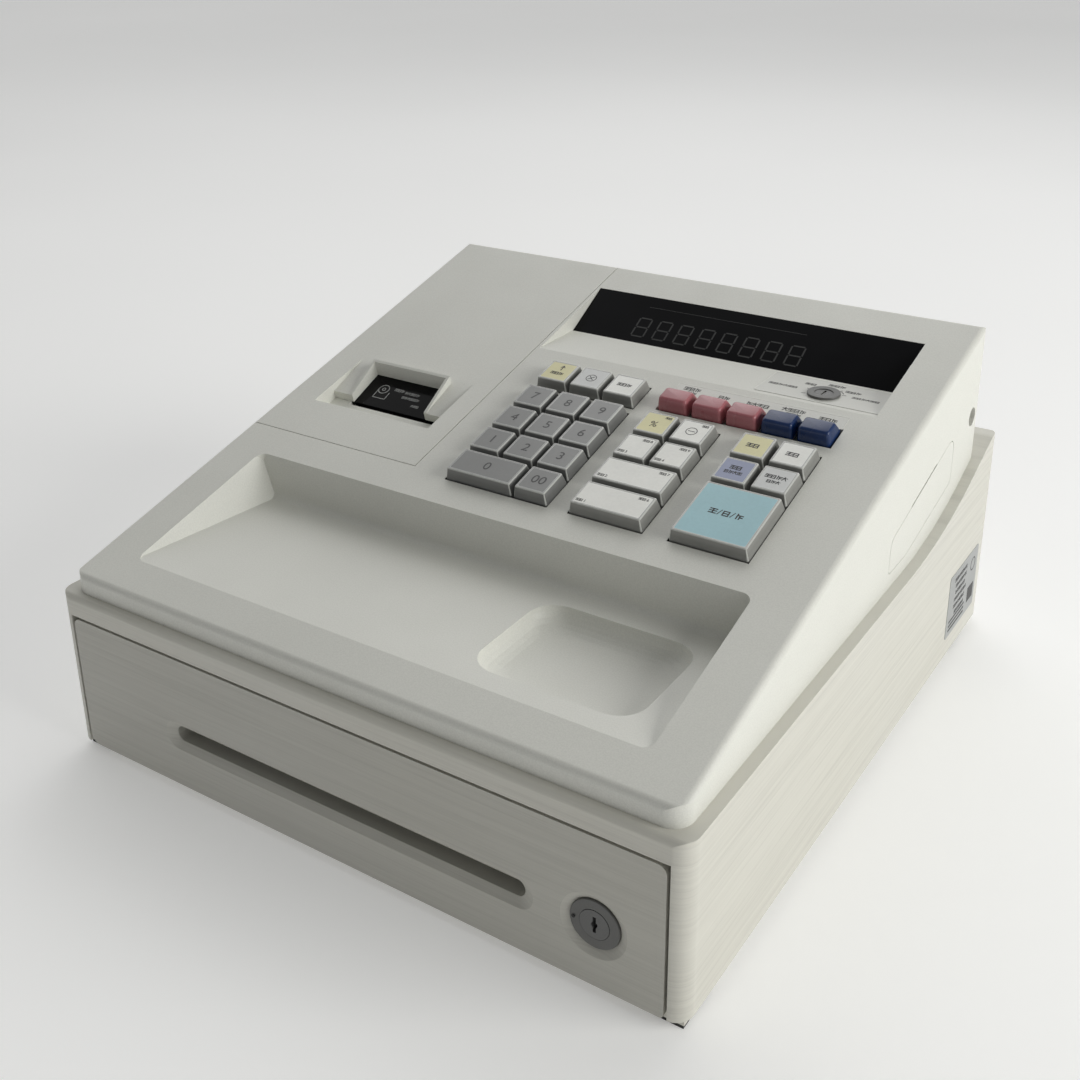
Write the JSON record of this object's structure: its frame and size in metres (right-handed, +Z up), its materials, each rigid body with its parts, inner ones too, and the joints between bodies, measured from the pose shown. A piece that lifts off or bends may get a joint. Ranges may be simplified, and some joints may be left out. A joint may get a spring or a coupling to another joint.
{
  "type": "cash register",
  "caption": "Desktop cash register with a sliding till drawer, sloping deck with pen tray and coin dish, clear-capped keys, recessed display, key switch and lift-off receipt-roll cover.",
  "frame": {"origin": "centre of the footprint on the surface the feet stand on", "axes": "+X to the operator's right when facing the drawer, +Y towards the rear, +Z up; the drawer opens towards -Y"},
  "size_m": [0.335, 0.358, 0.18],
  "materials": {
    "base_plastic": "pale ivory, fine wood-grain texture",
    "drawer_plastic": "pale ivory, fine wood-grain texture",
    "housing_plastic": "pale warm grey-white, fine matt grain",
    "foot_rubber": "matt black",
    "screw_steel": "zinc plated",
    "tray_plastic": "pale grey, matt",
    "till_plastic": "dark grey, matt",
    "clip_plastic": "black, satin",
    "lock_grey": "mid grey, satin",
    "lock_plug": "mid grey, satin",
    "roller_nylon": "white nylon",
    "window_smoke": "near black, glossy",
    "roll_paper": "white thermal paper, matt",
    "mechanism_plastic": "dark grey, matt",
    "platen_rubber": "black, matt",
    "circuit_board": "green solder mask, satin",
    "key_rubber": "translucent grey silicone",
    "transformer_steel": "varnished laminations",
    "number_key": "grey legend under a clear cap",
    "white_key": "white legend under a clear cap",
    "grey_key": "pale grey legend under a clear cap",
    "yellow_key": "pale yellow legend under a clear cap",
    "lavender_key": "lavender legend under a clear cap",
    "cyan_key": "pale cyan legend under a clear cap",
    "pink_button": "solid rose pink",
    "blue_button": "solid royal blue"
  },
  "bodies": {
    "register_body": {"base_casing": "base_plastic", "upper_housing": "housing_plastic", "rubber_feet": "foot_rubber", "casing_screws": "screw_steel", "display_window": "window_smoke", "display_module": "circuit_board", "customer_window": "window_smoke", "mode_lock_barrel": "lock_grey", "key_mat": "key_rubber", "key_board": "circuit_board", "main_board": "circuit_board", "transformer": "transformer_steel", "printer_frame": "mechanism_plastic"},
    "drawer": {"drawer_front": "drawer_plastic", "drawer_tray": "tray_plastic", "coin_tray": "till_plastic", "drawer_lock_barrel": "lock_grey"},
    "drawer_lock_plug": {"drawer_lock_plug": "lock_plug"},
    "bill_clip_left": {"bill_clip_left": "clip_plastic"},
    "bill_clip_middle": {"bill_clip_middle": "clip_plastic"},
    "bill_clip_right": {"bill_clip_right": "clip_plastic"},
    "drawer_catch": {"drawer_catch": "screw_steel"},
    "front_rollers": {"front_rollers": "roller_nylon"},
    "rear_rollers": {"rear_rollers": "roller_nylon"},
    "roll_cover": {"roll_cover": "housing_plastic", "paper_window": "window_smoke"},
    "paper_roll": {"paper_roll": "roll_paper"},
    "platen_roller": {"platen_roller": "platen_rubber"},
    "mode_lock_plug": {"mode_lock_plug": "lock_plug"},
    "side_cover": {"side_cover": "housing_plastic"},
    "key_feed": {"key_feed": "yellow_key"},
    "key_multiply": {"key_multiply": "grey_key"},
    "key_clear": {"key_clear": "white_key"},
    "key_0": {"key_0": "number_key"},
    "key_00": {"key_00": "number_key"},
    "key_1": {"key_1": "number_key"},
    "key_2": {"key_2": "number_key"},
    "key_3": {"key_3": "number_key"},
    "key_4": {"key_4": "number_key"},
    "key_5": {"key_5": "number_key"},
    "key_6": {"key_6": "number_key"},
    "key_7": {"key_7": "number_key"},
    "key_8": {"key_8": "number_key"},
    "key_9": {"key_9": "number_key"},
    "key_department_1": {"key_department_1": "white_key"},
    "key_department_2": {"key_department_2": "white_key"},
    "key_department_3": {"key_department_3": "white_key"},
    "key_department_4": {"key_department_4": "white_key"},
    "key_percent": {"key_percent": "yellow_key"},
    "key_minus": {"key_minus": "white_key"},
    "key_total": {"key_total": "cyan_key"},
    "key_shift": {"key_shift": "lavender_key"},
    "key_subtotal": {"key_subtotal": "grey_key"},
    "key_charge": {"key_charge": "yellow_key"},
    "key_check": {"key_check": "white_key"},
    "button_pink_1": {"button_pink_1": "pink_button"},
    "button_pink_2": {"button_pink_2": "pink_button"},
    "button_pink_3": {"button_pink_3": "pink_button"},
    "button_blue_1": {"button_blue_1": "blue_button"},
    "button_blue_2": {"button_blue_2": "blue_button"}
  },
  "joints": [
    {"name": "drawer_slide", "type": "slide", "parent": "register_body", "child": "drawer", "axis": [0, -1, 0], "range_m": [0, 0.245]},
    {"name": "roll_cover_lift", "type": "slide", "parent": "register_body", "child": "roll_cover", "axis": [0, -0.2504, 0.9681], "range_m": [0, 0.08]},
    {"name": "bill_clip_middle_hinge", "type": "hinge", "parent": "drawer", "child": "bill_clip_middle", "pos_m": [0, 0.088, 0.06], "axis": [-1, 0, 0], "range_deg": [0, 28], "stiffness_Nm_per_rad": 0.2, "springref_deg": -20.05},
    {"name": "drawer_lock_turn", "type": "hinge", "parent": "drawer", "child": "drawer_lock_plug", "pos_m": [0.1285, -0.179, 0.0337], "axis": [0, -1, 0], "range_deg": [0, 90]},
    {"name": "mode_lock_turn", "type": "hinge", "parent": "register_body", "child": "mode_lock_plug", "pos_m": [0.107, 0.0766, 0.157], "axis": [0, 0, 1], "range_deg": [-75, 75]},
    {"name": "side_cover_slide", "type": "slide", "parent": "register_body", "child": "side_cover", "axis": [1, 0, 0], "range_m": [0, 0.03]},
    {"name": "drawer_catch_turn", "type": "hinge", "parent": "register_body", "child": "drawer_catch", "pos_m": [0, 0.152, 0.0303], "axis": [0, 0, -1], "range_deg": [0, 13], "stiffness_Nm_per_rad": 0.05, "springref_deg": -11.46},
    {"name": "paper_roll_turn", "type": "hinge", "parent": "register_body", "child": "paper_roll", "pos_m": [-0.099, 0.103, 0.131], "axis": [-1, 0, 0], "continuous": true},
    {"name": "platen_turn", "type": "hinge", "parent": "register_body", "child": "platen_roller", "pos_m": [-0.099, 0.008, 0.125], "axis": [-1, 0, 0], "continuous": true},
    {"name": "front_rollers_turn", "type": "hinge", "parent": "register_body", "child": "front_rollers", "pos_m": [0, -0.158, 0.01415], "axis": [1, 0, 0], "continuous": true},
    {"name": "rear_rollers_turn", "type": "hinge", "parent": "drawer", "child": "rear_rollers", "pos_m": [0, 0.11, 0.01385], "axis": [1, 0, 0], "continuous": true},
    {"name": "key_total_press", "type": "slide", "parent": "register_body", "child": "key_total", "axis": [0, 0.2504, -0.9681], "range_m": [0, 0.003], "stiffness_N_per_m": 250, "springref_m": -0.002},
    {"name": "key_0_press", "type": "slide", "parent": "register_body", "child": "key_0", "axis": [0, 0.2504, -0.9681], "range_m": [0, 0.003], "stiffness_N_per_m": 250, "springref_m": -0.002},
    {"name": "key_department_1_press", "type": "slide", "parent": "register_body", "child": "key_department_1", "axis": [0, 0.2504, -0.9681], "range_m": [0, 0.003], "stiffness_N_per_m": 250, "springref_m": -0.002},
    {"name": "key_5_press", "type": "slide", "parent": "register_body", "child": "key_5", "axis": [0, 0.2504, -0.9681], "range_m": [0, 0.003], "stiffness_N_per_m": 250, "springref_m": -0.002},
    {"name": "key_feed_press", "type": "slide", "parent": "register_body", "child": "key_feed", "axis": [0, 0.2504, -0.9681], "range_m": [0, 0.003], "stiffness_N_per_m": 250, "springref_m": -0.002},
    {"name": "button_pink_1_press", "type": "slide", "parent": "register_body", "child": "button_pink_1", "axis": [0, 0.2504, -0.9681], "range_m": [0, 0.003], "stiffness_N_per_m": 250, "springref_m": -0.002},
    {"name": "button_blue_2_press", "type": "slide", "parent": "register_body", "child": "button_blue_2", "axis": [0, 0.2504, -0.9681], "range_m": [0, 0.003], "stiffness_N_per_m": 250, "springref_m": -0.002},
    {"name": "bill_clip_left_hinge", "type": "hinge", "parent": "drawer", "child": "bill_clip_left", "pos_m": [-0.0976, 0.088, 0.06], "axis": [-1, 0, 0], "range_deg": [0, 28], "stiffness_Nm_per_rad": 0.2, "springref_deg": -20.05},
    {"name": "bill_clip_right_hinge", "type": "hinge", "parent": "drawer", "child": "bill_clip_right", "pos_m": [0.0976, 0.088, 0.06], "axis": [-1, 0, 0], "range_deg": [0, 28], "stiffness_Nm_per_rad": 0.2, "springref_deg": -20.05},
    {"name": "key_multiply_press", "type": "slide", "parent": "register_body", "child": "key_multiply", "axis": [0, 0.2504, -0.9681], "range_m": [0, 0.003], "stiffness_N_per_m": 250, "springref_m": -0.002},
    {"name": "key_clear_press", "type": "slide", "parent": "register_body", "child": "key_clear", "axis": [0, 0.2504, -0.9681], "range_m": [0, 0.003], "stiffness_N_per_m": 250, "springref_m": -0.002},
    {"name": "key_00_press", "type": "slide", "parent": "register_body", "child": "key_00", "axis": [0, 0.2504, -0.9681], "range_m": [0, 0.003], "stiffness_N_per_m": 250, "springref_m": -0.002},
    {"name": "key_1_press", "type": "slide", "parent": "register_body", "child": "key_1", "axis": [0, 0.2504, -0.9681], "range_m": [0, 0.003], "stiffness_N_per_m": 250, "springref_m": -0.002},
    {"name": "key_2_press", "type": "slide", "parent": "register_body", "child": "key_2", "axis": [0, 0.2504, -0.9681], "range_m": [0, 0.003], "stiffness_N_per_m": 250, "springref_m": -0.002},
    {"name": "key_3_press", "type": "slide", "parent": "register_body", "child": "key_3", "axis": [0, 0.2504, -0.9681], "range_m": [0, 0.003], "stiffness_N_per_m": 250, "springref_m": -0.002},
    {"name": "key_4_press", "type": "slide", "parent": "register_body", "child": "key_4", "axis": [0, 0.2504, -0.9681], "range_m": [0, 0.003], "stiffness_N_per_m": 250, "springref_m": -0.002},
    {"name": "key_6_press", "type": "slide", "parent": "register_body", "child": "key_6", "axis": [0, 0.2504, -0.9681], "range_m": [0, 0.003], "stiffness_N_per_m": 250, "springref_m": -0.002},
    {"name": "key_7_press", "type": "slide", "parent": "register_body", "child": "key_7", "axis": [0, 0.2504, -0.9681], "range_m": [0, 0.003], "stiffness_N_per_m": 250, "springref_m": -0.002},
    {"name": "key_8_press", "type": "slide", "parent": "register_body", "child": "key_8", "axis": [0, 0.2504, -0.9681], "range_m": [0, 0.003], "stiffness_N_per_m": 250, "springref_m": -0.002},
    {"name": "key_9_press", "type": "slide", "parent": "register_body", "child": "key_9", "axis": [0, 0.2504, -0.9681], "range_m": [0, 0.003], "stiffness_N_per_m": 250, "springref_m": -0.002},
    {"name": "key_department_2_press", "type": "slide", "parent": "register_body", "child": "key_department_2", "axis": [0, 0.2504, -0.9681], "range_m": [0, 0.003], "stiffness_N_per_m": 250, "springref_m": -0.002},
    {"name": "key_department_3_press", "type": "slide", "parent": "register_body", "child": "key_department_3", "axis": [0, 0.2504, -0.9681], "range_m": [0, 0.003], "stiffness_N_per_m": 250, "springref_m": -0.002},
    {"name": "key_department_4_press", "type": "slide", "parent": "register_body", "child": "key_department_4", "axis": [0, 0.2504, -0.9681], "range_m": [0, 0.003], "stiffness_N_per_m": 250, "springref_m": -0.002},
    {"name": "key_percent_press", "type": "slide", "parent": "register_body", "child": "key_percent", "axis": [0, 0.2504, -0.9681], "range_m": [0, 0.003], "stiffness_N_per_m": 250, "springref_m": -0.002},
    {"name": "key_minus_press", "type": "slide", "parent": "register_body", "child": "key_minus", "axis": [0, 0.2504, -0.9681], "range_m": [0, 0.003], "stiffness_N_per_m": 250, "springref_m": -0.002},
    {"name": "key_shift_press", "type": "slide", "parent": "register_body", "child": "key_shift", "axis": [0, 0.2504, -0.9681], "range_m": [0, 0.003], "stiffness_N_per_m": 250, "springref_m": -0.002},
    {"name": "key_subtotal_press", "type": "slide", "parent": "register_body", "child": "key_subtotal", "axis": [0, 0.2504, -0.9681], "range_m": [0, 0.003], "stiffness_N_per_m": 250, "springref_m": -0.002},
    {"name": "key_charge_press", "type": "slide", "parent": "register_body", "child": "key_charge", "axis": [0, 0.2504, -0.9681], "range_m": [0, 0.003], "stiffness_N_per_m": 250, "springref_m": -0.002},
    {"name": "key_check_press", "type": "slide", "parent": "register_body", "child": "key_check", "axis": [0, 0.2504, -0.9681], "range_m": [0, 0.003], "stiffness_N_per_m": 250, "springref_m": -0.002},
    {"name": "button_pink_2_press", "type": "slide", "parent": "register_body", "child": "button_pink_2", "axis": [0, 0.2504, -0.9681], "range_m": [0, 0.003], "stiffness_N_per_m": 250, "springref_m": -0.002},
    {"name": "button_pink_3_press", "type": "slide", "parent": "register_body", "child": "button_pink_3", "axis": [0, 0.2504, -0.9681], "range_m": [0, 0.003], "stiffness_N_per_m": 250, "springref_m": -0.002},
    {"name": "button_blue_1_press", "type": "slide", "parent": "register_body", "child": "button_blue_1", "axis": [0, 0.2504, -0.9681], "range_m": [0, 0.003], "stiffness_N_per_m": 250, "springref_m": -0.002}
  ],
  "couplings": [
    {"joint": "platen_turn", "follows": "paper_roll_turn", "ratio": 5.2},
    {"joint": "front_rollers_turn", "follows": "drawer_slide", "rad_per_m": 181.82},
    {"joint": "rear_rollers_turn", "follows": "drawer_slide", "rad_per_m": 181.82}
  ]
}
